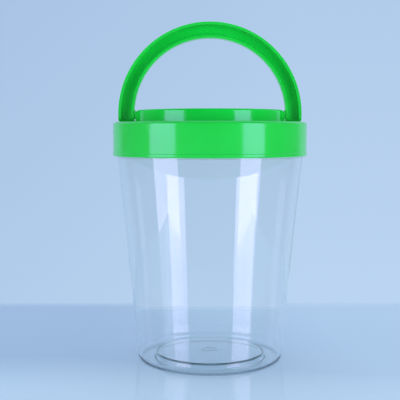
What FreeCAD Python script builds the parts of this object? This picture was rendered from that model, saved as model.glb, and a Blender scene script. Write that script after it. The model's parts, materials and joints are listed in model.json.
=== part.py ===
"""Clear tapered jar with a screw lid and a swing handle.

Millimetres, +Z up. The origin is the middle of the ring that the jar stands on. The jar is drawn
in that frame. The lid is drawn from its skirt's lower edge, the liner from the rim it rests on and
the handle from its pivot, and each is then placed at its height by an expression.
The handle's pivot runs along X, and its open channel faces -Y.
"""
import FreeCAD, Part
import math
import os
import re

import Sketcher

# Driving dimensions, each a cell of the sheet.
SIZES = {
    # jar body
    "base_radius": 53.1,           # widest point just above the heel
    "heel_radius": 4.5,            # round between the standing ring and the wall
    "rim_height": 169.4,
    "neck_radius": 66.0,
    "neck_length": 20.4,
    "shoulder_ledge": 1.0,         # how far the body stands out from the neck
    "shoulder_rise": 1.5,
    "wall_hollow": 0.56,           # how far the wall bows in between heel and shoulder
    "jar_wall": 0.9,
    "neck_wall": 2.0,
    "heel_wall": 0.7,              # under the heel, where blowing stretches the base most
    "base_wall": 1.4,              # from the step inwards
    "rim_round": 0.6,
    # raised middle of the jar's base
    "pushup_radius": 39.6,
    "pushup_slant": 1.8,
    "pushup_height": 2.7,
    "pushup_dome": 1.5,
    "gate_ring_radius": 5.0,
    "gate_ring_width": 0.8,
    "gate_ring_height": 0.4,
    # one right-hand thread, shared by jar and lid
    "thread_lead": 6.0,
    "thread_rise": 8.0,            # how far each thread climbs from end to end
    "thread_depth": 1.7,
    "thread_root_width": 2.6,
    "thread_crest_width": 1.1,
    "thread_below_rim": 3.6,       # rim to the middle of the thread's upper end
    "thread_clearance": 0.4,       # radial, crest to the opposite wall
    "flank_clearance": 0.15,
    "thread_bury": 0.3,            # how deep the thread's foot is sunk into its wall
    # lid
    "skirt_wall": 1.6,
    "skirt_height": 24.3,
    "skirt_lead_in": 0.5,
    "bead_height": 2.5,
    "bead_flare": 0.3,
    "bead_round": 0.5,
    "lid_top_wall": 1.6,
    "ceiling_round": 0.8,
    "step_round": 2.3,
    "crown_radius": 53.0,
    "crown_height": 8.4,
    "crown_wall": 1.6,
    "crown_round": 1.5,
    "panel_border": 7.0,           # crown's wall to the sunk panel in its top
    "panel_depth": 0.8,
    "pad_width": 15.0,
    "pad_stand": 0.5,              # pad face to the crown's wall
    "pad_below_top": 0.8,
    "socket_end_clearance": 0.4,
    "socket_wall": 1.4,
    # liner
    "liner_thickness": 1.0,
    "liner_clearance": 0.3,        # radial, to the round under the lid's ceiling
    # handle
    "handle_gap": 0.9,             # handle to pad face
    "handle_width": 11.5,
    "handle_depth": 7.0,
    "flange_wall": 2.0,
    "web_wall": 2.0,
    "foot_drop": 5.0,              # pivot to the end of the foot
    "foot_wall": 1.3,
    "foot_round": 3.0,             # seen along the pivot
    "foot_corner": 1.3,            # outer corner, seen from the front
    "swing_clearance": 0.24,
    "collar_radius": 3.2,          # collar round each pin, which keeps the bail centred
    "collar_clearance": 0.1,       # to the pad face
    "pin_radius": 1.8,
    "pin_length": 4.0,
    "pin_chamfer": 0.5,
    "pin_clearance": 0.05,
}

# Sizes that follow from the driving ones, kept in the sheet as formulas.
DERIVED = {
    "standing_radius": "base_radius - heel_radius",
    "shoulder_height": "rim_height - neck_length - shoulder_rise",
    "neck_foot": "rim_height - neck_length",
    "body_top_radius": "neck_radius + shoulder_ledge",
    "neck_bore": "neck_radius - neck_wall",
    "wall_chord": "sqrt((body_top_radius - base_radius)^2 + (shoulder_height - heel_radius)^2)",
    "wall_bow": "wall_chord^2 / (8 * wall_hollow) + wall_hollow / 2",
    "inner_heel": "heel_radius - jar_wall",
    "pushup_top_radius": "pushup_radius - pushup_slant",
    "slope": "pushup_slant / pushup_height",
    "step_shift": "base_wall * (sqrt(1 + slope^2) - slope)",
    "dome_bow": "(pushup_top_radius^2 + pushup_dome^2) / (2 * pushup_dome)",
    "inner_step_radius": "pushup_radius + step_shift",
    "inner_top_radius": "pushup_top_radius + step_shift",
    "inner_dome_bow": "(inner_top_radius^2 + pushup_dome^2) / (2 * pushup_dome)",
    "floor_middle": "pushup_height + pushup_dome + base_wall",
    "jar_thread_radius": "neck_radius + thread_depth",
    "jar_thread_start": "rim_height - thread_below_rim - thread_rise",
    "skirt_bore": "jar_thread_radius + thread_clearance",
    "skirt_radius": "skirt_bore + skirt_wall",
    "lid_radius": "skirt_radius + bead_flare",
    "lid_thread_radius": "skirt_bore - thread_depth",
    "ceiling": "skirt_height - lid_top_wall",
    "lid_height": "rim_height + liner_thickness - ceiling",
    "thread_pair": "(thread_root_width + thread_crest_width) / 2 + flank_clearance",
    "lid_thread_start": "jar_thread_start - thread_lead / 2 - thread_pair - lid_height",
    "crown_top": "skirt_height + crown_height",
    "crown_bore": "crown_radius - crown_wall",
    "panel_radius": "crown_radius - panel_border",
    "crown_ceiling": "crown_top - panel_depth - lid_top_wall",
    "pad_face": "crown_radius + pad_stand",
    "swing_radius": "foot_round + sqrt((handle_depth / 2 - foot_round)^2 + (foot_drop - foot_round)^2)",
    "pivot_rise": "skirt_height + swing_radius + swing_clearance",
    "socket_radius": "pin_radius + pin_clearance",
    "socket_depth": "pin_length - handle_gap + socket_end_clearance",
    "block_half": "socket_radius + socket_wall",
    "block_inside": "pad_face - socket_depth - socket_wall",
    "liner_radius": "skirt_bore - ceiling_round - liner_clearance",
    "handle_inner": "pad_face + handle_gap",
    "handle_outer": "handle_inner + handle_width",
    "channel_inner": "handle_inner + flange_wall",
    "channel_outer": "handle_outer - flange_wall",
    "pivot_height": "lid_height + pivot_rise",
}

doc = FreeCAD.newDocument("jar_with_swing_handle")
sheet = doc.addObject("Spreadsheet::Sheet", "Sizes")
scratch = doc.addObject("Spreadsheet::Sheet", "Scratch")


def fill_sheet():
    """Put the driving numbers in column B and the formulas that follow from them below."""
    row = 1
    for name, value in SIZES.items():
        sheet.set(f"A{row}", name)
        sheet.set(f"B{row}", str(value))
        sheet.setAlias(f"B{row}", name)
        row += 1
    for name, formula in DERIVED.items():
        sheet.set(f"A{row}", name)
        sheet.set(f"B{row}", "=" + formula)
        sheet.setAlias(f"B{row}", name)
        row += 1
    doc.recompute()


def on_sheet(formula):
    """A formula as other objects must write it, with the sheet's name before each alias."""
    def with_sheet(match):
        word = match.group()
        return "Sizes." + word if word in SIZES or word in DERIVED else word

    return re.sub("[a-z_]+", with_sheet, formula)


def number(formula):
    """What a formula comes to, worked out in a scratch sheet so that no piece is touched."""
    scratch.set("A1", "=" + on_sheet(formula))
    scratch.recompute()
    return float(scratch.get("A1"))


def bind(thing, prop, formula):
    thing.setExpression(prop, on_sheet(formula))


# ---------------------------------------------------------------- sketch outlines

def new_body(name):
    body = doc.addObject("PartDesign::Body", name)
    body.Label = name
    return body


def origin_plane(body, role):
    return next(item for item in body.Origin.OriginFeatures if item.Role == role)


def new_sketch(body, name, role, offset=None):
    """A sketch on one of the body's own planes, moved along its normal by a formula."""
    sketch = body.newObject("Sketcher::SketchObject", name)
    sketch.AttachmentSupport = [(origin_plane(body, role), "")]
    sketch.MapMode = "FlatFace"
    if offset:
        bind(sketch, ".AttachmentOffset.Base.z", offset)
    return sketch


def arc_middle(start, end, radius, turn):
    """The middle point of the shorter arc from start to end; turn is +1 anticlockwise."""
    half = (end - start) * 0.5
    rise = math.sqrt(max(radius ** 2 - half.Length ** 2, 0.0))
    across = FreeCAD.Vector(half.y, -half.x, 0).normalize()
    return start + half + across * (turn * (radius - rise))


def end_at(sketch, edge, point):
    """Which end of an edge, 1 or 2, lies at a point."""
    first = (sketch.getPoint(edge, 1) - point).Length
    second = (sketch.getPoint(edge, 2) - point).Length
    return 1 if first <= second else 2


def fix_corner(sketch, edge, end, corner):
    """Hold a corner at its two formulas, or on the axis where a formula is 0."""
    across, along = corner[:2]
    for kind, formula, axis in (("DistanceX", across, -2), ("DistanceY", along, -1)):
        if formula == "0":
            sketch.addConstraint(Sketcher.Constraint("PointOnObject", edge, end, axis))
            continue
        value = number(formula)
        index = sketch.addConstraint(Sketcher.Constraint(kind, -1, 1, edge, end, value))
        bind(sketch, f"Constraints[{index}]", formula)


def draw_outline(sketch, corners):
    """Close an outline through its corners.

    A corner is (across, along) for a straight edge to the next corner, and
    (across, along, radius, turn) for an arc to it. A fifth item, "tangent", leaves the corner free
    and makes the arcs that meet there tangent.
    """
    places = [FreeCAD.Vector(number(corner[0]), number(corner[1]), 0) for corner in corners]
    edges = []
    for index, corner in enumerate(corners):
        start = places[index]
        end = places[(index + 1) % len(corners)]
        if len(corner) == 2:
            edges.append(sketch.addGeometry(Part.LineSegment(start, end)))
            continue
        middle = arc_middle(start, end, number(corner[2]), corner[3])
        edge = sketch.addGeometry(Part.Arc(start, middle, end))
        edges.append(edge)
    for index, corner in enumerate(corners):
        edge = edges[index]
        before = edges[index - 1]
        end = end_at(sketch, edge, places[index])
        end_before = end_at(sketch, before, places[index])
        joint = "Tangent" if "tangent" in corner else "Coincident"
        sketch.addConstraint(Sketcher.Constraint(joint, before, end_before, edge, end))
        if "tangent" not in corner:
            fix_corner(sketch, edge, end, corner)
    for index, corner in enumerate(corners):
        if len(corner) > 2:
            radius = Sketcher.Constraint("Radius", edges[index], number(corner[2]))
            bind(sketch, f"Constraints[{sketch.addConstraint(radius)}]", corner[2])


def draw_circle(sketch, along, radius):
    """A circle on the sketch's upright axis."""
    middle = FreeCAD.Vector(0, number(along), 0)
    circle = sketch.addGeometry(Part.Circle(middle, FreeCAD.Vector(0, 0, 1), number(radius)))
    fix_corner(sketch, circle, 3, ("0", along))
    index = sketch.addConstraint(Sketcher.Constraint("Radius", circle, number(radius)))
    bind(sketch, f"Constraints[{index}]", radius)


# ---------------------------------------------------------------- features

def revolve(body, name, corners, axis="V_Axis", kind="PartDesign::Revolution"):
    sketch = new_sketch(body, name + "_outline", "XZ_Plane")
    draw_outline(sketch, corners)
    feature = body.newObject(kind, name)
    feature.Profile = sketch
    feature.ReferenceAxis = (sketch, [axis])
    feature.Angle = 360
    doc.recompute()
    return feature


def extrude(body, kind, name, sketch, length, symmetric=False):
    """A Pad or a Pocket of a sketch; a symmetric one is centred on the sketch's plane."""
    feature = body.newObject(kind, name)
    feature.Profile = sketch
    feature.SideType = "Symmetric" if symmetric else "One side"
    bind(feature, "Length", length)
    doc.recompute()
    return feature


def mirror_across_yz(body, feature):
    mirrored = body.newObject("PartDesign::Mirrored", feature.Name + "_other_side")
    mirrored.Originals = [feature]
    mirrored.MirrorPlane = (origin_plane(body, "YZ_Plane"), [""])
    body.Tip = mirrored
    doc.recompute()
    return mirrored


def add_thread(body, name, wall, crest, start):
    """One right-hand thread from wall to crest, starting on the XZ plane at a height."""
    sketch = new_sketch(body, name + "_tooth", "XZ_Plane")
    draw_outline(sketch, [
        (wall, f"{start} - thread_root_width / 2"),
        (crest, f"{start} - thread_crest_width / 2"),
        (crest, f"{start} + thread_crest_width / 2"),
        (wall, f"{start} + thread_root_width / 2"),
    ])
    thread = body.newObject("PartDesign::AdditiveHelix", name)
    thread.Profile = sketch
    thread.ReferenceAxis = (sketch, ["V_Axis"])
    thread.Mode = "pitch-height-angle"
    bind(thread, "Pitch", "thread_lead")
    bind(thread, "Height", "thread_rise")
    doc.recompute()
    return thread


# ---------------------------------------------------------------- the four pieces

def make_jar():
    """Stretch-blown jar: domed base, heel, slightly hollow wall, shoulder and threaded neck."""
    body = new_body("jar")
    neck_inner_foot = "neck_foot + shoulder_rise"
    revolve(body, "shell", [
        ("0", "pushup_height + pushup_dome", "dome_bow", -1),
        ("pushup_top_radius", "pushup_height"),
        ("pushup_radius", "0"),
        ("standing_radius", "0", "heel_radius", 1),
        ("base_radius", "heel_radius", "wall_bow", -1, "tangent"),
        ("body_top_radius", "shoulder_height"),
        ("neck_radius", "neck_foot"),
        ("neck_radius", "rim_height - rim_round", "rim_round", 1),
        ("neck_radius - rim_round", "rim_height"),
        ("neck_bore + rim_round", "rim_height", "rim_round", 1),
        ("neck_bore", "rim_height - rim_round"),
        ("neck_bore", neck_inner_foot),
        ("body_top_radius - jar_wall", "shoulder_height", "wall_bow + jar_wall", 1),
        ("base_radius - jar_wall", "heel_wall + inner_heel", "inner_heel", -1, "tangent"),
        ("standing_radius", "heel_wall"),
        ("inner_step_radius", "base_wall"),
        ("inner_top_radius", "pushup_height + base_wall", "inner_dome_bow", 1),
        ("0", "floor_middle"),
    ])
    ring_inside = "gate_ring_radius - gate_ring_width / 2"
    ring_outside = "gate_ring_radius + gate_ring_width / 2"
    revolve(body, "gate_ring", [
        (ring_inside, "floor_middle - gate_ring_height"),
        (ring_outside, "floor_middle - gate_ring_height"),
        (ring_outside, "floor_middle + gate_ring_height"),
        (ring_inside, "floor_middle + gate_ring_height"),
    ])
    add_thread(body, "neck_thread", "neck_radius - thread_bury", "jar_thread_radius", "jar_thread_start")
    return body


def make_liner():
    """Foam disc that lies on the jar's rim, under the lid's ceiling."""
    body = new_body("sealing_liner")
    sketch = new_sketch(body, "disc", "XY_Plane")
    draw_circle(sketch, "0", "liner_radius")
    extrude(body, "PartDesign::Pad", "liner", sketch, "liner_thickness")
    bind(body, ".Placement.Base.z", "rim_height")
    return body


def make_lid():
    """Screw cap: beaded skirt, step and raised crown with a pivot pad and a socket on each side."""
    body = new_body("lid")
    revolve(body, "outside", [
        ("0", "0"),
        ("lid_radius - bead_round", "0", "bead_round", 1),
        ("lid_radius", "bead_round"),
        ("lid_radius", "bead_height"),
        ("skirt_radius", "bead_height + bead_flare"),
        ("skirt_radius", "skirt_height - step_round", "step_round", 1),
        ("skirt_radius - step_round", "skirt_height"),
        ("crown_radius", "skirt_height"),
        ("crown_radius", "crown_top - crown_round", "crown_round", 1),
        ("crown_radius - crown_round", "crown_top"),
        ("panel_radius + panel_depth", "crown_top"),
        ("panel_radius", "crown_top - panel_depth"),
        ("0", "crown_top - panel_depth"),
    ])
    pads = new_sketch(body, "pads", "YZ_Plane")
    draw_outline(pads, [
        ("-pad_width / 2", "ceiling"),
        ("pad_width / 2", "ceiling"),
        ("pad_width / 2", "crown_top - pad_below_top"),
        ("-pad_width / 2", "crown_top - pad_below_top"),
    ])
    extrude(body, "PartDesign::Pad", "pivot_pads", pads, "2 * pad_face", symmetric=True)
    revolve(body, "hollow", [
        ("0", "0"),
        ("skirt_bore + skirt_lead_in", "0"),
        ("skirt_bore", "skirt_lead_in"),
        ("skirt_bore", "ceiling - ceiling_round", "ceiling_round", 1),
        ("skirt_bore - ceiling_round", "ceiling"),
        ("crown_bore", "ceiling"),
        ("crown_bore", "crown_ceiling"),
        ("0", "crown_ceiling"),
    ], kind="PartDesign::Groove")
    block = new_sketch(body, "block", "YZ_Plane", "block_inside")
    draw_outline(block, [
        ("-block_half", "pivot_rise - block_half"),
        ("block_half", "pivot_rise - block_half"),
        ("block_half", "crown_ceiling + lid_top_wall / 2"),
        ("-block_half", "crown_ceiling + lid_top_wall / 2"),
    ])
    block_length = "crown_radius - crown_wall / 2 - block_inside"
    blocks = extrude(body, "PartDesign::Pad", "socket_block", block, block_length)
    mirror_across_yz(body, blocks)
    mouth = new_sketch(body, "socket_mouth", "YZ_Plane", "pad_face")
    draw_circle(mouth, "pivot_rise", "socket_radius")
    socket = extrude(body, "PartDesign::Pocket", "pivot_socket", mouth, "socket_depth")
    mirror_across_yz(body, socket)
    add_thread(body, "skirt_thread", "-skirt_bore - thread_bury", "-lid_thread_radius", "lid_thread_start")
    bind(body, ".Placement.Base.z", "lid_height")
    return body


def arch(inner, outer, foot, corner=None):
    """Half ring on two legs, about the pivot; corner rounds the feet's outer corners."""
    right_foot = [(outer, foot)]
    left_foot = [(f"-{outer}", foot)]
    if corner:
        right_foot = [(f"{outer} - {corner}", foot, corner, 1), (outer, f"{foot} + {corner}")]
        left_foot = [(f"-{outer}", f"{foot} + {corner}", corner, 1), (f"-{outer} + {corner}", foot)]
    return [
        (inner, foot),
        *right_foot,
        (outer, "0", outer, 1),
        ("0", outer, outer, 1),
        (f"-{outer}", "0"),
        *left_foot,
        (f"-{inner}", foot),
        (f"-{inner}", "0", inner, -1),
        ("0", inner, inner, -1),
        (inner, "0"),
    ]


def foot_corner_outline(side):
    """The waste outside one rounded corner of the feet; side is "" for +Y and "-" for -Y."""
    face = "handle_depth / 2"
    return [
        (f"{side}({face})", "foot_round - foot_drop", "foot_round", -1 if side == "" else 1),
        (f"{side}({face} - foot_round)", "-foot_drop"),
        (f"{side}({face} - foot_round)", "-foot_drop - foot_round"),
        (f"{side}({face} + foot_round)", "-foot_drop - foot_round"),
        (f"{side}({face} + foot_round)", "foot_round - foot_drop"),
    ]


def make_handle():
    """Bail of U section, open to the front, with a collared pin on the inside of each foot."""
    body = new_body("handle")
    outline = new_sketch(body, "bail", "XZ_Plane")
    draw_outline(outline, arch("handle_inner", "handle_outer", "-foot_drop", "foot_corner"))
    extrude(body, "PartDesign::Pad", "bail_bar", outline, "handle_depth", symmetric=True)
    for name, side in (("back", ""), ("front", "-")):
        waste = new_sketch(body, f"{name}_waste", "YZ_Plane")
        draw_outline(waste, foot_corner_outline(side))
        extrude(body, "PartDesign::Pocket", f"{name}_foot_round", waste,
                "3 * handle_outer", symmetric=True)
    channel = new_sketch(body, "channel_outline", "XZ_Plane", "handle_depth / 2")
    draw_outline(channel, arch("channel_inner", "channel_outer", "foot_wall - foot_drop"))
    extrude(body, "PartDesign::Pocket", "channel", channel, "handle_depth - web_wall")
    for name, side in (("right", ""), ("left", "-")):
        pin_end = f"{side}(handle_inner - pin_length)"
        pin_root = f"{side}(handle_inner + flange_wall / 2)"
        collar_face = f"{side}(pad_face + collar_clearance)"
        revolve(body, f"{name}_trunnion", [
            (pin_end, "0"),
            (pin_root, "0"),
            (pin_root, "collar_radius"),
            (collar_face, "collar_radius"),
            (collar_face, "pin_radius"),
            (f"{side}(handle_inner - pin_length + pin_chamfer)", "pin_radius"),
            (pin_end, "pin_radius - pin_chamfer"),
        ], axis="H_Axis")
    bind(body, ".Placement.Base.z", "pivot_height")
    return body


# ---------------------------------------------------------------- build, check and write

def check(pieces):
    """Stop if any object failed or a piece is not one valid solid."""
    for item in doc.Objects:
        if "Invalid" in item.State or "Error" in item.State:
            raise RuntimeError(f"{item.Name} failed: {item.State}")
    for piece in pieces:
        if piece.Shape.isNull() or not piece.Shape.isValid():
            raise RuntimeError(f"{piece.Label} has no valid shape")
        if len(piece.Shape.Solids) != 1:
            raise RuntimeError(f"{piece.Label} is {len(piece.Shape.Solids)} solids")


fill_sheet()
pieces = [make_jar(), make_liner(), make_lid(), make_handle()]
doc.removeObject(scratch.Name)
doc.recompute()
check(pieces)

os.makedirs("parts", exist_ok=True)
for piece in pieces:
    piece.Shape.exportStep(f"parts/{piece.Label}.step")
    box = piece.Shape.BoundBox
    print(f"{piece.Label}: {piece.Shape.Volume / 1000:.2f} cm3, z {box.ZMin:.2f} to {box.ZMax:.2f}")
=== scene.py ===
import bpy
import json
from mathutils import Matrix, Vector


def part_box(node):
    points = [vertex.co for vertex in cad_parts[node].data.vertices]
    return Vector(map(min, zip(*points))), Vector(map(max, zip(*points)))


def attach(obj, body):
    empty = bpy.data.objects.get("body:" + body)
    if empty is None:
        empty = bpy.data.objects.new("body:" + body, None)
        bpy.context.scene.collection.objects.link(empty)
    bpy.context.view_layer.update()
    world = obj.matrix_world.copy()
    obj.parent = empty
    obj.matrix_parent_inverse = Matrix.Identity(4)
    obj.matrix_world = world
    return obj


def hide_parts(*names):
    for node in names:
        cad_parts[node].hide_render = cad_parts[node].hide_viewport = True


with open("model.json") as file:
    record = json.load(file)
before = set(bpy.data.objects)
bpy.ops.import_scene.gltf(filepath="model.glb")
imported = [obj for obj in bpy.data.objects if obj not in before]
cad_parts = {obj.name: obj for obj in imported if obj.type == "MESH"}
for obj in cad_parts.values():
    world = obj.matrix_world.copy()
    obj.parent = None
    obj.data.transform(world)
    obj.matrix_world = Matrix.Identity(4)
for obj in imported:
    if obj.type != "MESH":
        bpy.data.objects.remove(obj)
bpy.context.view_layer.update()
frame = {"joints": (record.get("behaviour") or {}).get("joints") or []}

import json
import math

import bmesh
import bpy
from mathutils import Vector

# ------------------------------------------------------------------------------------------ jar
# Stretch-blown jar of clear PET: a tapered wall a little thinner towards the heel, a pushed-up
# base that stands on a flat ring, the gate's mark in its middle, and a neck with one thread.
MM = 0.001                      # the sizes of the jar, liner, lid and handle are in millimetres


def reach(node, axis):
    """How far a node of the frame reaches along an axis."""
    return round(getattr(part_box(node)[1], axis) / MM, 3)


JAR_BASE_RADIUS = 53.1
JAR_TOP_RADIUS = 67.0
HEEL_HEIGHT = 4.5
HEEL_CORNER = 52.74             # where the wall's line meets the table
SHOULDER_HEIGHT = 147.5
SHOULDER_ROUND = 1.2
SHOULDER_INSIDE_ROUND = 2.0
WALL_HOLLOW = 0.56              # how far the wall bows in, half-way up
WALL_AT_SHOULDER = 1.5
WALL_AT_HEEL = 0.7
WALL_GROWTH = 55                # height over which the wall gets its full thickness
HEEL_WALL = 0.86
RING_WALL = 1.0
BASE_WALL = 1.7
PUSHUP_RADIUS = 38.4
PUSHUP_TOP_RADIUS = 38.0
PUSHUP_HEIGHT = 3.3
PUSHUP_DOME = 0.5
PUSHUP_ROUND = 2.0
PUSHUP_TOP_ROUND = 0.5
INNER_STEP_RADIUS = 39.9
INNER_STEP_ROUND = 1.0
INNER_TOP_RADIUS = 39.2
INNER_TOP_ROUND = 1.2
GATE_NUB_RADIUS = 1.0           # the nub is under the base, and the ring is on its inside
GATE_NUB_FOOT = 1.4
GATE_NUB_HEIGHT = 0.5
GATE_NUB_DIP = 0.02             # how far the base dips round the nub's foot
GATE_RING_RADIUS = 5.0
GATE_RING_CREST = 0.3           # half widths
GATE_RING_FOOT = 0.9
GATE_RING_HEIGHT = 0.1
GATE_RING_DIP = 0.03
NECK_RADIUS = 66.0
NECK_BORE = 64.0
NECK_FOOT = 149.0
NECK_INSIDE_FOOT = 150.5
NECK_INSIDE_ROUND = 1.5
NECK_ROUND = 0.6
RIM_HEIGHT = reach("jar", "z")
THREAD_LEAD = 6.0               # how far it climbs in one turn
THREAD_RISE = 8.0               # and from end to end
THREAD_ROOT_HALF = 1.3          # half heights
THREAD_CREST_HALF = 0.55
THREAD_SINK = 0.3               # how far its root lies inside the wall
THREAD_RUN_OUT = 12             # steps in which each end sinks into the wall
THREAD_END_SINK = 0.9           # share of its height that an end loses
JAR_THREAD_CREST = reach("jar", "x")
JAR_THREAD_START = 157.8
ROUND_STEPS = 256               # steps of a full turn
WALL_CUTS = 28
DOME_CUTS = 16
CREASE_ANGLE = 35               # degrees from which an edge stays a crease


def round_corner(section, corner, radius):
    """Round one corner of a flat section."""
    ways = [edge.other_vert(corner).co - corner.co for edge in corner.link_edges]
    setback = radius * MM / math.tan(ways[0].angle(ways[1]) / 2)
    bmesh.ops.bevel(section, geom=[corner], offset=setback, offset_type="OFFSET",
                    segments=max(4, min(64, round(4 * radius))), profile=0.5,
                    affect="VERTICES", material=-1)


def draw_section(corners):
    """A section as one flat face. A corner is its radius, its height and how far it is rounded."""
    section = bmesh.new()
    places = [section.verts.new((across * MM, 0, up * MM)) for across, up, *_ in corners]
    section.faces.new(places)
    for place, corner in zip(places, corners):
        if len(corner) > 2:
            round_corner(section, place, corner[2])
    return section


def divide_edge(section, start, end, cuts):
    """Cut the edge that runs nearly from one corner to another, and give its new points."""
    start, end = (Vector((across * MM, 0, up * MM)) for across, up in (start, end))

    def distance(edge):
        one, two = (vert.co for vert in edge.verts)
        return min((one - start).length + (two - end).length,
                   (one - end).length + (two - start).length)

    edge = min(section.edges, key=distance)
    made = bmesh.ops.subdivide_edges(section, edges=[edge], cuts=cuts)["geom_inner"]
    return [item for item in made if isinstance(item, bmesh.types.BMVert)]


def raise_dome(section, start, rim):
    """Bend the line from a start near the middle out to a rim into a shallow dome."""
    for vert in divide_edge(section, start, rim, DOME_CUTS):
        share = vert.co.x / MM / rim[0]
        vert.co.z = (start[1] - PUSHUP_DOME * share ** 2) * MM


def turn_round(section):
    """Turn a section about the Z axis into a closed skin that faces outwards."""
    bmesh.ops.delete(section, geom=section.faces[:], context="FACES_ONLY")
    on_axis = [edge for edge in section.edges if all(abs(v.co.x) < 1e-7 for v in edge.verts)]
    bmesh.ops.delete(section, geom=on_axis, context="EDGES")
    bmesh.ops.spin(section, geom=section.verts[:] + section.edges[:], cent=(0, 0, 0),
                   axis=(0, 0, 1), angle=math.tau, steps=ROUND_STEPS, use_merge=True)
    bmesh.ops.remove_doubles(section, verts=section.verts, dist=1e-7)
    bmesh.ops.recalc_face_normals(section, faces=section.faces)
    return section


def wind_thread(root, crest, start):
    """A right-hand thread that runs out into its wall at both ends, as a closed shape.

    It starts on the right, or on the left where its radii are negative.
    """
    thread = draw_section([(root, start - THREAD_ROOT_HALF), (crest, start - THREAD_CREST_HALF),
                           (crest, start + THREAD_CREST_HALF), (root, start + THREAD_ROOT_HALF)])
    bmesh.ops.delete(thread, geom=thread.faces[:], context="FACES_ONLY")
    turns = THREAD_RISE / THREAD_LEAD
    steps = round(turns * ROUND_STEPS)
    bmesh.ops.spin(thread, geom=thread.verts[:] + thread.edges[:], cent=(0, 0, 0), axis=(0, 0, 1),
                   dvec=(0, 0, THREAD_RISE * MM / steps), angle=turns * math.tau, steps=steps)
    thread.verts.ensure_lookup_table()
    for step in range(steps + 1):
        sink = THREAD_END_SINK * max(0, 1 - min(step, steps - step) / THREAD_RUN_OUT)
        for vert in thread.verts[4 * step:4 * step + 4]:
            from_axis = math.hypot(vert.co.x, vert.co.y)
            scale = 1 + sink * (abs(root) * MM / from_axis - 1)
            vert.co.x *= scale
            vert.co.y *= scale
    bmesh.ops.holes_fill(thread, edges=thread.edges[:], sides=0)
    bmesh.ops.recalc_face_normals(thread, faces=thread.faces)
    return thread


def new_piece(name, shape):
    """An object at the origin whose mesh is the finished shape."""
    mesh = bpy.data.meshes.new(name)
    shape.to_mesh(mesh)
    shape.free()
    piece = bpy.data.objects.new(name, mesh)
    bpy.context.scene.collection.objects.link(piece)
    return piece


def apply_modifiers(piece):
    """Make the piece's mesh what its modifiers show."""
    shown = piece.evaluated_get(bpy.context.evaluated_depsgraph_get())
    before, piece.data = piece.data, bpy.data.meshes.new_from_object(shown)
    piece.modifiers.clear()
    bpy.data.meshes.remove(before)


def combine(piece, shape, kind):
    """Join a closed shape to a piece (UNION), cut it out (DIFFERENCE) or keep what both hold."""
    other = new_piece("other", shape)
    boolean = piece.modifiers.new("combine", "BOOLEAN")
    boolean.object, boolean.operation, boolean.solver = other, kind, "EXACT"
    apply_modifiers(piece)
    bpy.data.meshes.remove(other.data)


def smooth_piece(piece):
    """Smooth shading with real creases, and flat faces that stay flat beside their rounds."""
    piece.data.polygons.foreach_set("use_smooth", [True] * len(piece.data.polygons))
    piece.data.set_sharp_from_angle(angle=math.radians(CREASE_ANGLE))
    even = piece.modifiers.new("even_normals", "WEIGHTED_NORMAL")
    even.keep_sharp = True


def add_node(tree, kind, inputs=None, **settings):
    """A shader node with its settings made and its inputs set or linked."""
    made = tree.nodes.new("ShaderNode" + kind)
    for name, value in settings.items():
        setattr(made, name, value)
    for name, value in (inputs or {}).items():
        if isinstance(value, bpy.types.NodeSocket):
            tree.links.new(value, made.inputs[name])
        else:
            made.inputs[name].default_value = value
    return made


def new_material(name):
    """An empty node material and the Object coordinates that its patterns follow."""
    material = bpy.data.materials.new(name)
    material.use_nodes = True
    material.node_tree.nodes.clear()
    place = add_node(material.node_tree, "TexCoord").outputs["Object"]
    return material, material.node_tree, place


def noise(tree, place, scale, detail, roughness=0.5):
    return add_node(tree, "TexNoise", {"Vector": place, "Scale": scale, "Detail": detail,
                                       "Roughness": roughness}).outputs["Fac"]


def mix_values(tree, share, one, two):
    """The first value where the share is 0, and the second where it is 1."""
    return add_node(tree, "Mix", {"Factor": share, 2: one, 3: two}).outputs[0]


def mix_shaders(tree, share, one, two):
    """The first node's shader where the share is 0, and the second's where it is 1."""
    return add_node(tree, "MixShader", {0: share, 1: one.outputs[0], 2: two.outputs[0]}).outputs[0]


def wall_radius(height):
    """The outside of the tapered wall, which bows in a little between heel and shoulder."""
    along = (height - HEEL_HEIGHT) / (SHOULDER_HEIGHT - HEEL_HEIGHT)
    taper = JAR_TOP_RADIUS - JAR_BASE_RADIUS
    return JAR_BASE_RADIUS + taper * along - WALL_HOLLOW * 4 * along * (1 - along)


def wall_thickness(height):
    along = min(1, max(0, (height - HEEL_HEIGHT) / WALL_GROWTH))
    return WALL_AT_HEEL + (WALL_AT_SHOULDER - WALL_AT_HEEL) * along


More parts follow.
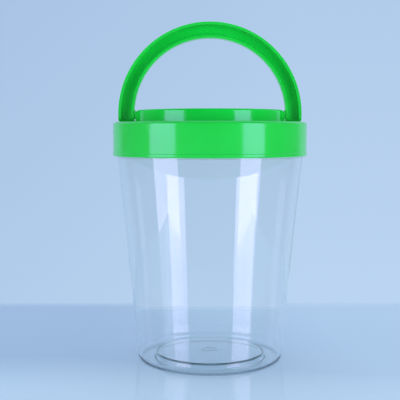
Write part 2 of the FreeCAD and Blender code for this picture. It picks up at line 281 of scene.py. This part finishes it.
dome_top = PUSHUP_HEIGHT + PUSHUP_DOME
floor_rim = PUSHUP_HEIGHT + BASE_WALL
floor_middle = dome_top + BASE_WALL
inner_heel_corner = wall_radius(HEEL_WALL) - wall_thickness(HEEL_WALL)
inner_shoulder = JAR_TOP_RADIUS - WALL_AT_SHOULDER
jar_section = draw_section([
    (0, dome_top - GATE_NUB_HEIGHT),
    (GATE_NUB_RADIUS, dome_top - GATE_NUB_HEIGHT, 0.3),
    (GATE_NUB_FOOT, dome_top - GATE_NUB_DIP, 0.2),
    (PUSHUP_TOP_RADIUS, PUSHUP_HEIGHT, PUSHUP_TOP_ROUND),
    (PUSHUP_RADIUS, 0, PUSHUP_ROUND),
    (HEEL_CORNER, 0, HEEL_HEIGHT),
    (JAR_TOP_RADIUS, SHOULDER_HEIGHT, SHOULDER_ROUND),
    (NECK_RADIUS, NECK_FOOT, NECK_ROUND),
    (NECK_RADIUS, RIM_HEIGHT, NECK_ROUND),
    (NECK_BORE, RIM_HEIGHT, NECK_ROUND),
    (NECK_BORE, NECK_INSIDE_FOOT, NECK_INSIDE_ROUND),
    (inner_shoulder, SHOULDER_HEIGHT, SHOULDER_INSIDE_ROUND),
    (inner_heel_corner, HEEL_WALL, HEEL_HEIGHT - WALL_AT_HEEL),
    (INNER_STEP_RADIUS, RING_WALL, INNER_STEP_ROUND),
    (INNER_TOP_RADIUS, floor_rim, INNER_TOP_ROUND),
    (GATE_RING_RADIUS + GATE_RING_FOOT, floor_middle - GATE_RING_DIP, 0.3),
    (GATE_RING_RADIUS + GATE_RING_CREST, floor_middle + GATE_RING_HEIGHT, 0.4),
    (GATE_RING_RADIUS - GATE_RING_CREST, floor_middle + GATE_RING_HEIGHT, 0.4),
    (GATE_RING_RADIUS - GATE_RING_FOOT, floor_middle - GATE_RING_DIP, 0.3),
    (0, floor_middle),
])
for vert in divide_edge(jar_section, (HEEL_CORNER, 0), (JAR_TOP_RADIUS, SHOULDER_HEIGHT),
                        WALL_CUTS):
    vert.co.x = wall_radius(vert.co.z / MM) * MM
for vert in divide_edge(jar_section, (inner_heel_corner, HEEL_WALL),
                        (inner_shoulder, SHOULDER_HEIGHT), WALL_CUTS):
    height = vert.co.z / MM
    vert.co.x = (wall_radius(height) - wall_thickness(height)) * MM
raise_dome(jar_section, (GATE_NUB_FOOT, dome_top), (PUSHUP_TOP_RADIUS, PUSHUP_HEIGHT))
raise_dome(jar_section, (GATE_RING_RADIUS, floor_middle), (INNER_TOP_RADIUS, floor_rim))

jar = new_piece("clear_jar", turn_round(jar_section))
combine(jar, wind_thread(NECK_RADIUS - THREAD_SINK, JAR_THREAD_CREST, JAR_THREAD_START), "UNION")
smooth_piece(jar)

# Clear PET: a slow waviness from the blowing with faint smudges over it, and a blue-green tint
# that only shows where light runs a long way through the plastic. Shadow rays pass it nearly
# unweakened, so that light reaches what stands behind it.
clear_pet, tree, place = new_material("clear_pet")
stretched = add_node(tree, "Mapping", {"Vector": place, "Scale": (1, 1, 0.12)}).outputs[0]
flow = mix_values(tree, 0.03, noise(tree, stretched, 42, 1), noise(tree, place, 240, 4))
blown = add_node(tree, "Bump", {"Height": flow, "Strength": 0.06, "Distance": 0.0012})
pet = add_node(tree, "BsdfPrincipled", {
    "Base Color": (1, 1, 1, 1), "Roughness": 0.02, "IOR": 1.575,
    "Transmission Weight": 1, "Normal": blown.outputs[0]})
light_passes = add_node(tree, "BsdfTransparent", {"Color": (0.99, 1, 0.995, 1)})
shadow_ray = add_node(tree, "LightPath").outputs["Is Shadow Ray"]
tint = add_node(tree, "VolumeAbsorption", {"Color": (0.3, 0.64, 0.62, 1), "Density": 24})
add_node(tree, "OutputMaterial", {"Surface": mix_shaders(tree, shadow_ray, pet, light_passes),
                                  "Volume": tint.outputs[0]})

jar.data.materials.append(clear_pet)
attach(jar, "jar")
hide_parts("jar")

# -------------------------------------------------------------------------------- sealing liner
# Disc of white foamed polyethylene, punched from sheet and pressed under the lid's ceiling. The
# jar's rim has left a shallow ring in its lower face.
LINER_RADIUS = reach("sealing_liner", "x")
LINER_TOP = reach("sealing_liner", "z")
LINER_ROUND = 0.2
RIM_MARK = 0.12                 # how deep the rim has pressed in
MARK_BORE = NECK_BORE - 0.2     # the mark is a little wider than the rim
MARK_RADIUS = NECK_RADIUS + 0.1
MARK_INNER_FLANK = 0.4
MARK_OUTER_FLANK = 0.3

liner = new_piece("foam_liner", turn_round(draw_section([
    (0, RIM_HEIGHT),
    (MARK_BORE - MARK_INNER_FLANK, RIM_HEIGHT, 0.3),
    (MARK_BORE, RIM_HEIGHT + RIM_MARK, 0.3),
    (MARK_RADIUS, RIM_HEIGHT + RIM_MARK, 0.2),
    (MARK_RADIUS + MARK_OUTER_FLANK, RIM_HEIGHT, 0.2),
    (LINER_RADIUS, RIM_HEIGHT, LINER_ROUND),
    (LINER_RADIUS, LINER_TOP, LINER_ROUND),
    (0, LINER_TOP),
])))
smooth_piece(liner)


def paint(red, green, blue):
    """A display colour, 0 to 255, as the linear colour that a shader takes."""
    return (*((value / 255 / 12.92 if value < 10.3 else ((value / 255 + 0.055) / 1.055) ** 2.4)
              for value in (red, green, blue)), 1)


def mix_colours(tree, share, one, two):
    """The first colour where the share is 0, and the second where it is 1."""
    mixed = add_node(tree, "Mix", {"Factor": share, 6: one, 7: two}, data_type="RGBA")
    return mixed.outputs[2]


def ramp(tree, value, start, end, low=0, high=1, **settings):
    """What goes from low to high while a value goes from start to end, and no further."""
    return add_node(tree, "MapRange", {"Value": value, "From Min": start, "From Max": end,
                                       "To Min": low, "To Max": high}, **settings).outputs[0]


# Foamed polyethylene: fine cut cells that pit the surface and make it dull, and pale patches.
white_foam, tree, place = new_material("white_foam")
cells = add_node(tree, "TexVoronoi", {"Vector": place, "Scale": 1400}).outputs["Distance"]
foam_colour = mix_colours(tree, noise(tree, place, 70, 3), paint(226, 228, 226),
                          paint(243, 244, 241))
pitted = add_node(tree, "Bump", {"Height": cells, "Strength": 0.35, "Distance": 0.0002})
foam = add_node(tree, "BsdfPrincipled", {
    "Base Color": foam_colour, "Roughness": ramp(tree, cells, 0, 1, 0.6, 0.85), "IOR": 1.4,
    "Normal": pitted.outputs[0]})
add_node(tree, "OutputMaterial", {"Surface": foam.outputs[0]})

liner.data.materials.append(white_foam)
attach(liner, "liner")
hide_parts("sealing_liner")

# ------------------------------------------------------------------------------------------ lid
# Injection-moulded screw cap of green polypropylene: plain skirt with a bead round its foot, a
# rounded step, and a raised crown that carries a flat pivot pad and a socket on each side.
LID_FOOT = round(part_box("lid")[0].z / MM, 3)
LID_RADIUS = reach("lid", "x")
LID_WALL = 1.6
BEAD_STANDS_OUT = 0.3
BEAD_TOP = 150.2
BEAD_ROUND = 0.9
SKIRT_RADIUS = LID_RADIUS - BEAD_STANDS_OUT
SKIRT_BORE = SKIRT_RADIUS - LID_WALL
SKIRT_LEAD_IN = 0.5             # chamfer inside the foot
CEILING = LINER_TOP
CEILING_ROUND = 0.8
STEP_HEIGHT = CEILING + LID_WALL
STEP_ROUND = 2.3
CROWN_RADIUS = 53.0
CROWN_BORE = CROWN_RADIUS - LID_WALL
CROWN_TOP = reach("lid", "z")
CROWN_ROUND = 1.5
PANEL_RADIUS = 46.0             # the crown's top is sunk inside this radius
PANEL_DEPTH = 0.8
PANEL_ROUND = 0.6
CROWN_CEILING = CROWN_TOP - PANEL_DEPTH - LID_WALL
PAD_HALF = 7.5
PAD_STANDS_OUT = 0.5
PAD_FACE = CROWN_RADIUS + PAD_STANDS_OUT
PAD_TOP = 179.6
PAD_ROUND = 0.3
BOSS_HALF = 3.25                # a boss behind each pad gives its socket more depth
BOSS_INSIDE = 48.6
SUNK = 0.8                      # how far pads and bosses reach into the wall
SOCKET_RADIUS = 1.85
SOCKET_DEPTH = 3.5
CLEAR = 1                       # how far a cutter reaches past what it cuts
LID_THREAD_CREST = 66.4
LID_THREAD_START = 152.8
handle_swing = next(joint for joint in frame["joints"] if joint["name"] == "handle_swing")
PIVOT_HEIGHT = round(handle_swing["pos_m"][2] / MM, 3)


def block(corner, opposite, rounding=0):
    """A block between two opposite corners, with its edges rounded."""
    middle = (Vector(corner) + Vector(opposite)) / 2
    size = Vector([abs(one - two) for one, two in zip(corner, opposite)])
    shape = bmesh.new()
    bmesh.ops.create_cube(shape, size=1)
    bmesh.ops.scale(shape, vec=size * MM, verts=shape.verts)
    bmesh.ops.translate(shape, vec=middle * MM, verts=shape.verts)
    if rounding:
        bmesh.ops.bevel(shape, geom=shape.edges[:], offset=rounding * MM, offset_type="OFFSET",
                        segments=3, profile=0.5, affect="EDGES", material=-1)
    return shape


def pin(start, end, radius, chamfer=0):
    """A round pin along X at the pivot's height. A chamfer rounds off its free end."""
    length, free = abs(end - start), 1 if end > start else -1
    shape = bmesh.new()
    bmesh.ops.create_cone(shape, cap_ends=True, segments=48, radius1=radius * MM,
                          radius2=radius * MM, depth=length * MM)
    if chamfer:
        rim = [edge for edge in shape.edges if all(vert.co.z > 0 for vert in edge.verts)]
        bmesh.ops.bevel(shape, geom=rim, offset=chamfer * MM, offset_type="OFFSET", segments=2,
                        profile=0.5, affect="EDGES", material=-1)
    turn = Vector((0, 0, 1)).rotation_difference(Vector((free, 0, 0))).to_matrix()
    bmesh.ops.rotate(shape, verts=shape.verts, cent=(0, 0, 0), matrix=turn)
    bmesh.ops.translate(shape, verts=shape.verts,
                        vec=((start + end) / 2 * MM, 0, PIVOT_HEIGHT * MM))
    return shape


lid = new_piece("screw_lid", turn_round(draw_section([
    (0, CROWN_TOP - PANEL_DEPTH),
    (PANEL_RADIUS, CROWN_TOP - PANEL_DEPTH, PANEL_ROUND),
    (PANEL_RADIUS + PANEL_DEPTH, CROWN_TOP, 0.4),
    (CROWN_RADIUS, CROWN_TOP, CROWN_ROUND),
    (CROWN_RADIUS, STEP_HEIGHT, 0.3),
    (SKIRT_RADIUS, STEP_HEIGHT, STEP_ROUND),
    (SKIRT_RADIUS, BEAD_TOP + BEAD_STANDS_OUT, 0.25),
    (LID_RADIUS, BEAD_TOP, 0.15),
    (LID_RADIUS, LID_FOOT, BEAD_ROUND),
    (SKIRT_BORE + SKIRT_LEAD_IN, LID_FOOT, 0.2),
    (SKIRT_BORE, LID_FOOT + SKIRT_LEAD_IN, 0.2),
    (SKIRT_BORE, CEILING, CEILING_ROUND),
    (CROWN_BORE, CEILING, 0.5),
    (CROWN_BORE, CROWN_CEILING, CEILING_ROUND),
    (0, CROWN_CEILING),
])))
for side in (1, -1):
    combine(lid, block((side * (CROWN_RADIUS - SUNK), -PAD_HALF, STEP_HEIGHT - SUNK),
                       (side * PAD_FACE, PAD_HALF, PAD_TOP), PAD_ROUND), "UNION")
    combine(lid, block((side * BOSS_INSIDE, -BOSS_HALF, PIVOT_HEIGHT - BOSS_HALF),
                       (side * (CROWN_BORE + SUNK), BOSS_HALF, CROWN_CEILING + SUNK)), "UNION")
for side in (1, -1):
    combine(lid, pin(side * (PAD_FACE + CLEAR), side * (PAD_FACE - SOCKET_DEPTH), SOCKET_RADIUS),
            "DIFFERENCE")
combine(lid, wind_thread(-SKIRT_BORE - THREAD_SINK, -LID_THREAD_CREST, LID_THREAD_START), "UNION")
smooth_piece(lid)

HANDLE_HALF_DEPTH = reach("handle", "y")
HAZE = 0.8                      # how hazy the skirt and the bail's faces are


def calculate(tree, operation, *values):
    """What a Math node gives."""
    return add_node(tree, "Math", dict(enumerate(values)), operation=operation).outputs[0]


# Green polypropylene: nearly even colour with slow drifts from the melt, a gloss that varies a
# little, and the fine turning marks and orange peel of the mould under it.
green_plastic, tree, place = new_material("green_polypropylene")
drift = ramp(tree, noise(tree, place, 38, 3, 0.55), 0.3, 0.7)
green = mix_colours(tree, drift, paint(9, 212, 60), paint(15, 220, 69))
turning_marks = add_node(tree, "TexWave", {
    "Vector": place, "Scale": 420, "Distortion": 2.5, "Detail": 2, "Detail Scale": 1.5},
    wave_type="BANDS", bands_direction="Z").outputs["Fac"]
skin = mix_values(tree, 0.35, noise(tree, place, 900, 2), turning_marks)
moulded = add_node(tree, "Bump", {"Height": skin, "Strength": 0.05, "Distance": 0.0001})
plastic_gloss = ramp(tree, noise(tree, place, 130, 4), 0.35, 0.7, 0.11, 0.17)

# The crown and the bail's groove are polished. The skirt has a hazier skin, and so have the
# bail's faces, which lie outside the pads or above the crown and away from the middle plane.
flat_place = add_node(tree, "VectorMath", {0: place, 1: (1, 1, 0)}, operation="MULTIPLY")
from_axis = add_node(tree, "VectorMath", {0: flat_place.outputs[0]}, operation="LENGTH")
outside_pads = ramp(tree, from_axis.outputs["Value"], (PAD_FACE + 0.1) * MM,
                    (PAD_FACE + 0.4) * MM)
spot = add_node(tree, "SeparateXYZ", {"Vector": place}).outputs
above_crown = ramp(tree, spot["Z"], (CROWN_TOP + 0.2) * MM, (CROWN_TOP + 0.5) * MM)
on_bail = calculate(tree, "MAXIMUM", outside_pads, above_crown)
bail_face = ramp(tree, calculate(tree, "ABSOLUTE", spot["Y"]), (HANDLE_HALF_DEPTH - 0.5) * MM,
                 (HANDLE_HALF_DEPTH - 0.2) * MM)
on_skirt = ramp(tree, spot["Z"], STEP_HEIGHT * MM, (STEP_HEIGHT - 1.5) * MM)
hazy = calculate(tree, "MAXIMUM", calculate(tree, "MULTIPLY", on_bail, bail_face), on_skirt)
plastic = add_node(tree, "BsdfPrincipled", {
    "Base Color": green, "Roughness": plastic_gloss, "IOR": 1.49, "Normal": moulded.outputs[0],
    "Specular IOR Level": 0.95, "Specular Tint": (0.53, 0.5, 1, 1),
    "Coat Weight": calculate(tree, "MULTIPLY", hazy, HAZE), "Coat Roughness": 0.55})
add_node(tree, "OutputMaterial", {"Surface": plastic.outputs[0]})

lid.data.materials.append(green_plastic)
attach(lid, "lid")
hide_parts("lid")

# --------------------------------------------------------------------------------------- handle
# One-piece bail of the same polypropylene: a U section, open to the front, bent to a half circle
# on two short legs. Each foot is closed, rounded under, and has a collared pin on its inside that
# snaps into the lid's socket.
HANDLE_OUTER = reach("handle", "x")
BAR_WIDTH = 11.5
HANDLE_INNER = HANDLE_OUTER - BAR_WIDTH
FLANGE_WALL = 2.0
WEB_FRONT = 1.5                 # front face of the web, behind the pivot
GROOVE_CORNER = 0.5
FOOT_DROP = 5.0                 # how far a foot reaches below the pivot
FOOT_WALL = 1.3
FOOT_ROUND = 3.0                # under the foot, to the front and to the back
FOOT_CORNER = 1.3               # on its outer side
ARCH_HALF = 5                   # half the depth that the arch has before it is trimmed
COLLAR_RADIUS = 3.2
COLLAR_GAP = 0.1
COLLAR_FACE = PAD_FACE + COLLAR_GAP
PIN_RADIUS = 1.8
PIN_LENGTH = 4.0
PIN_CHAMFER = 0.5
EASED_EDGE = 0.4


def arch(inner, outer, drop, corner, front, back):
    """A half ring on two legs, from its front face to its back face."""
    top, foot = PIVOT_HEIGHT + outer, PIVOT_HEIGHT - drop
    slab = draw_section([
        (-outer, foot, corner), (-outer, top, outer), (outer, top, outer), (outer, foot, corner),
        (inner, foot), (inner, PIVOT_HEIGHT + inner, inner),
        (-inner, PIVOT_HEIGHT + inner, inner), (-inner, foot)])
    bmesh.ops.remove_doubles(slab, verts=slab.verts, dist=1e-7)
    bmesh.ops.translate(slab, verts=slab.verts, vec=(0, front * MM, 0))
    made = bmesh.ops.extrude_face_region(slab, geom=slab.faces[:])["geom"]
    bmesh.ops.translate(slab, vec=(0, (back - front) * MM, 0),
                        verts=[item for item in made if isinstance(item, bmesh.types.BMVert)])
    bmesh.ops.recalc_face_normals(slab, faces=slab.faces)
    return slab


handle = new_piece("swing_handle", arch(HANDLE_INNER, HANDLE_OUTER, FOOT_DROP, FOOT_CORNER,
                                        -ARCH_HALF, ARCH_HALF))
foot_height = PIVOT_HEIGHT - FOOT_DROP
depth = block((-HANDLE_OUTER - CLEAR, -HANDLE_HALF_DEPTH, foot_height),
              (HANDLE_OUTER + CLEAR, HANDLE_HALF_DEPTH, PIVOT_HEIGHT + HANDLE_OUTER + CLEAR))
under = [edge for edge in depth.edges
         if all(vert.co.z < (foot_height + CLEAR) * MM for vert in edge.verts)
         and abs(edge.verts[0].co.y - edge.verts[1].co.y) < 1e-6]
bmesh.ops.bevel(depth, geom=under, offset=FOOT_ROUND * MM, offset_type="OFFSET", segments=10,
                profile=0.5, affect="EDGES", material=-1)
combine(handle, depth, "INTERSECT")
combine(handle, arch(HANDLE_INNER + FLANGE_WALL, HANDLE_OUTER - FLANGE_WALL,
                     FOOT_DROP - FOOT_WALL, GROOVE_CORNER, -ARCH_HALF - CLEAR, WEB_FRONT),
        "DIFFERENCE")
for side in (1, -1):
    root = side * (HANDLE_INNER + FLANGE_WALL / 2)
    combine(handle, pin(root, side * COLLAR_FACE, COLLAR_RADIUS), "UNION")
    combine(handle, pin(root, side * (HANDLE_INNER - PIN_LENGTH), PIN_RADIUS, PIN_CHAMFER),
            "UNION")
eased = handle.modifiers.new("eased_edges", "BEVEL")
eased.width, eased.segments, eased.limit_method = EASED_EDGE * MM, 4, "ANGLE"
eased.angle_limit = math.radians(40)
apply_modifiers(handle)
smooth_piece(handle)

handle.data.materials.append(green_plastic)
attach(handle, "handle")
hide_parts("handle")

# ------------------------------------------------------------------------------------- tabletop
# A small glossy pale blue tabletop whose back edge shows behind the jar. Its colour carries
# painted light:
# it is lighter to the right and to the front. The sizes from here on are in metres.
TABLE_BACK = 0.196
BACK_FADE = 0.168               # where the back edge starts to fade into the backdrop
TABLE_FRONT = -0.3
FRONT_FADE = -0.22
TABLE_HALF = 0.36
TABLE_DROP = 0.0001             # how far it lies under the jar
LIT_SHARE = 0.8                 # share of its colour that the lamps light
OWN_LIGHT = 0.26                # and how strongly it shows its colour by itself
OWN_LIGHT_IN_SHADE = 0.05
SHADE_INSIDE = (0.0482, 0.0497)     # radii between which the shade round the heel fades in
SHADE_OUTSIDE = (0.0522, 0.0507)    # and, from its other side, fades out

tabletop = bmesh.new()
bmesh.ops.create_grid(tabletop, x_segments=1, y_segments=1, size=1)
bmesh.ops.scale(tabletop, verts=tabletop.verts,
                vec=(TABLE_HALF, (TABLE_BACK - TABLE_FRONT) / 2, 1))
bmesh.ops.translate(tabletop, verts=tabletop.verts,
                    vec=(0, (TABLE_BACK + TABLE_FRONT) / 2, -TABLE_DROP))
table = new_piece("tabletop", tabletop)

table_paint, tree, place = new_material("table_paint")
table_spot = add_node(tree, "SeparateXYZ", {"Vector": place}).outputs
# Painted light: the colour gets lighter to the right and to the front, and random clouds vary it a
# little.
on_right = ramp(tree, table_spot["X"], -0.1, 0.1, 0.15, 0.6)
in_front = ramp(tree, table_spot["Y"], 0.03, -0.1, 0, 0.95, interpolation_type="SMOOTHSTEP")
clouds = ramp(tree, noise(tree, place, 5, 2), 0, 1, -0.06, 0.06)
painted_light_and_clouds = calculate(tree, "ADD", calculate(tree, "MAXIMUM", on_right, in_front), clouds)
table_colour = mix_colours(tree, painted_light_and_clouds, paint(155, 186, 221), paint(198, 228, 255))
lit_part = add_node(tree, "VectorMath", {0: table_colour, "Scale": LIT_SHARE},
                    operation="SCALE")

# Painted shade: the table's own glow is dimmed in a narrow ring where the jar's heel leaves it.
from_middle = add_node(tree, "VectorMath", {0: place}, operation="LENGTH").outputs["Value"]
painted_heel_shade = calculate(tree, "MULTIPLY", ramp(tree, from_middle, *SHADE_INSIDE),
                       ramp(tree, from_middle, *SHADE_OUTSIDE))
table_gloss = add_node(tree, "BsdfPrincipled", {
    "Base Color": lit_part.outputs[0], "Roughness": 0.1, "IOR": 1.4,
    "Emission Color": table_colour,
    "Emission Strength": ramp(tree, painted_heel_shade, 0, 1, OWN_LIGHT, OWN_LIGHT_IN_SHADE)})

# It fades out behind and in front, and from below it is clear, so that the jar's underside shows.
behind = ramp(tree, table_spot["Y"], BACK_FADE, TABLE_BACK, interpolation_type="SMOOTHSTEP")
before = ramp(tree, table_spot["Y"], FRONT_FADE, TABLE_FRONT, interpolation_type="SMOOTHSTEP")
from_below = add_node(tree, "NewGeometry").outputs["Backfacing"]
clear_part = calculate(tree, "MAXIMUM", calculate(tree, "MAXIMUM", behind, before), from_below)
surface = mix_shaders(tree, clear_part, table_gloss, add_node(tree, "BsdfTransparent"))
add_node(tree, "OutputMaterial", {"Surface": surface})
table.data.materials.append(table_paint)

# ------------------------------------------------------------------------------------- backdrop
# A plain pale blue backdrop surrounds the table. Only what is seen straight or through the jar
# shows it on all sides: mirrored rays see a darker room in front and at the sides, and matt
# surfaces get a soft grey light that is stronger from behind.
world = bpy.data.worlds.new("studio")
bpy.context.scene.world = world
world.use_nodes = True
tree = world.node_tree
tree.nodes.clear()
direction = add_node(tree, "TexCoord").outputs["Generated"]
look = add_node(tree, "SeparateXYZ", {"Vector": direction}).outputs
to_right = ramp(tree, look["X"], -0.26, 0.12, 0, 0.5)
downwards = ramp(tree, look["Z"], 0.15, -0.19, 0, 0.5)
backdrop = mix_colours(tree, calculate(tree, "ADD", to_right, downwards), paint(168, 195, 228),
                       paint(186, 212, 241))

above_table = ramp(tree, look["Z"], -0.03, 0.04)
room = mix_colours(tree, above_table, (0.3, 0.35, 0.45, 1), (0.03, 0.07, 0.12, 1))
to_front = ramp(tree, look["Y"], 0.25, -0.25)
sideways = ramp(tree, calculate(tree, "ABSOLUTE", look["X"]), 0.74, 0.86, 0, 0.85)
studio = mix_colours(tree, to_front, backdrop, room)
studio = mix_colours(tree, sideways, studio, (0.09, 0.1, 0.14, 1))

upwards = ramp(tree, look["Z"], -0.2, 0.2)
from_behind = ramp(tree, look["Y"], 0, 0.6)
soft_light = mix_colours(tree, upwards, (0.27, 0.35, 0.33, 1), (0.34, 0.34, 0.36, 1))
soft_light = mix_colours(tree, from_behind, soft_light, (0.7, 0.76, 0.84, 1))

path = add_node(tree, "LightPath").outputs
seen = calculate(tree, "MAXIMUM", path["Is Camera Ray"], path["Is Transmission Ray"])
shown = mix_colours(tree, path["Is Diffuse Ray"], mix_colours(tree, seen, studio, backdrop),
                    soft_light)
sky = add_node(tree, "Background", {"Color": shown, "Strength": 1})
add_node(tree, "OutputWorld", {"Surface": sky.outputs[0]})

# ---------------------------------------------------------------------------------------- lamps
# Two tall soft boxes stand left and right in front and reach from below the table's edge to
# above the handle. Each is a glowing panel for reflections and an area lamp for the light, and a
# weak lamp hangs overhead.
BOX_LOW = -0.5
BOX_HIGH = 0.87
BOX_DISTANCE = 1.5
LAMP_DISTANCE = 0.98 * BOX_DISTANCE     # just in front of its panel
OVERHEAD_SIZE = 1.2
OVERHEAD_HEIGHT = 1.6
OVERHEAD_POWER = 2


def soft_box(name, azimuth, half_angle, glow, light):
    """An upright panel that faces the jar. Azimuth 0 is in front, and positive is right."""
    half = BOX_DISTANCE * math.tan(math.radians(half_angle))
    middle = (BOX_HIGH + BOX_LOW) / 2
    panel = bmesh.new()
    bmesh.ops.create_grid(panel, x_segments=1, y_segments=1, size=1)
    bmesh.ops.scale(panel, verts=panel.verts, vec=(half, (BOX_HIGH - BOX_LOW) / 2, 1))
    upright = Vector((0, 0, 1)).rotation_difference(Vector((0, 1, 0))).to_matrix()
    bmesh.ops.rotate(panel, verts=panel.verts, cent=(0, 0, 0), matrix=upright)
    bmesh.ops.translate(panel, verts=panel.verts, vec=(0, -BOX_DISTANCE, middle))
    away = Vector((math.sin(math.radians(azimuth)), -math.cos(math.radians(azimuth)), 0))
    turn = Vector((0, -1, 0)).rotation_difference(away)
    bmesh.ops.rotate(panel, verts=panel.verts, cent=(0, 0, 0), matrix=turn.to_matrix())
    box = new_piece(name, panel)

    # The panel glows in reflections only, less near the table. The area lamp does the lighting.
    material, tree, place = new_material(name)
    path = add_node(tree, "LightPath").outputs
    straight = calculate(tree, "LESS_THAN", path["Glossy Depth"], 0.5)
    through = calculate(tree, "MULTIPLY", path["Is Transmission Ray"], straight)
    hide = calculate(tree, "MAXIMUM", through, path["Is Camera Ray"])
    hide = calculate(tree, "MAXIMUM", hide, path["Is Diffuse Ray"])
    height = add_node(tree, "SeparateXYZ", {"Vector": place}).outputs["Z"]
    glowing = add_node(tree, "Emission", {"Color": glow,
                                          "Strength": ramp(tree, height, 0.04, 0.25, 0.74, 1)})
    hidden = add_node(tree, "BsdfTransparent")
    add_node(tree, "OutputMaterial", {"Surface": mix_shaders(tree, hide, glowing, hidden)})
    material.cycles.emission_sampling = "NONE"
    box.data.materials.append(material)
    box.visible_shadow = False

    lamp = bpy.data.lights.new(name, "AREA")
    lamp.shape, lamp.size, lamp.size_y = "RECTANGLE", 2 * half, BOX_HIGH - BOX_LOW
    lamp.energy = light * math.pi * lamp.size * lamp.size_y
    lit = bpy.data.objects.new(name + "_lamp", lamp)
    lit.location = away * LAMP_DISTANCE + Vector((0, 0, middle))
    lit.rotation_euler = away.to_track_quat("Z", "Y").to_euler()
    lit.visible_glossy = False
    lit.visible_transmission = False
    bpy.context.scene.collection.objects.link(lit)


soft_box("left_soft_box", azimuth=-55.9, half_angle=16.4, glow=(3.08, 2.9, 4.2, 1), light=3.1)
soft_box("right_soft_box", azimuth=49.9, half_angle=13.4, glow=(3.06, 2.85, 4.3, 1), light=4.75)

overhead = bpy.data.lights.new("overhead", "AREA")
overhead.shape, overhead.size, overhead.size_y = "RECTANGLE", OVERHEAD_SIZE, OVERHEAD_SIZE
overhead.energy = OVERHEAD_POWER
overhead.color = (0.93, 1, 1.08)
hung = bpy.data.objects.new("overhead", overhead)
hung.location = (0, 0, OVERHEAD_HEIGHT)
hung.visible_glossy = False
hung.visible_transmission = False
bpy.context.scene.collection.objects.link(hung)

# --------------------------------------------------------------------------------------- camera
# A long lens close in front of the jar, level with the lid's skirt. It stands a little left of
# the middle and is tilted down a little.
CAMERA_PLACE = (-0.00712, -0.6014, 0.1646)
CAMERA_LENS = 74.52
CAMERA_TILT = math.radians(90 - 4.678)  # 4.678 degrees below level
CAMERA_ROLL = math.radians(0.046)

camera_data = bpy.data.cameras.new("camera")
camera_data.sensor_width = 36
camera_data.lens = CAMERA_LENS
camera = bpy.data.objects.new("camera", camera_data)
camera.location = CAMERA_PLACE
camera.rotation_euler = (CAMERA_TILT, CAMERA_ROLL, 0)
bpy.context.scene.collection.objects.link(camera)
bpy.context.scene.camera = camera
bpy.context.scene.view_settings.view_transform = "Standard"

# Light is reflected many times inside the clear wall before it gets out of it.
cycles = bpy.context.scene.cycles
cycles.max_bounces = 64
cycles.transmission_bounces = 64
cycles.glossy_bounces = 24
